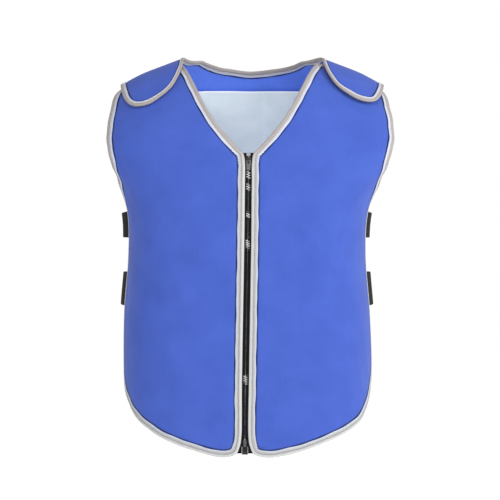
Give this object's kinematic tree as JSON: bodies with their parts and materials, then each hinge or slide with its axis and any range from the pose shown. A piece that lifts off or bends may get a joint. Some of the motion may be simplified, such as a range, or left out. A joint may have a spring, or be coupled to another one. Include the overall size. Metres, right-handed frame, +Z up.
{
  "type": "cooling vest",
  "caption": "Sleeveless work vest with a V neck, a full front zip, bound edges, shoulder flaps and open sides joined by straps, in worn form.",
  "frame": {"origin": "midway between the two neck points of the shoulder line, where the vest hangs on the shoulders", "axes": "+Z up along the wearer, -Y out of the front, +X to the wearer's left"},
  "size_m": [0.4488, 0.2504, 0.6255],
  "materials": {
    "cloth": "matte woven cotton, royal blue",
    "binding": "silver-grey reflective tape",
    "lining": "matte pale blue-grey lining",
    "zip_tape": "woven black tape",
    "teeth": "moulded black plastic",
    "slider": "dark grey lacquer",
    "strap": "ribbed black webbing"
  },
  "bodies": {
    "vest": {"front_panel_right": "cloth", "front_panel_left": "cloth", "back_panel": "cloth", "binding_front_right": "binding", "binding_front_left": "binding", "binding_back": "binding", "back_lining": "lining", "zip_tape_right": "zip_tape", "zip_tape_left": "zip_tape", "zip_chain": "teeth", "zip_top_stop_right": "teeth", "zip_top_stop_left": "teeth", "zip_box": "teeth", "zip_slider": "slider", "strap_upper_right": "strap", "strap_upper_left": "strap", "strap_lower_right": "strap", "strap_lower_left": "strap"},
    "pull": {"zip_pull": "slider"}
  },
  "joints": [
    {"name": "pull_swing", "type": "hinge", "parent": "vest", "child": "pull", "pos_m": [0, -0.11222, -0.16291], "axis": [-1, 0, 0], "range_deg": [0, 165]}
  ]
}
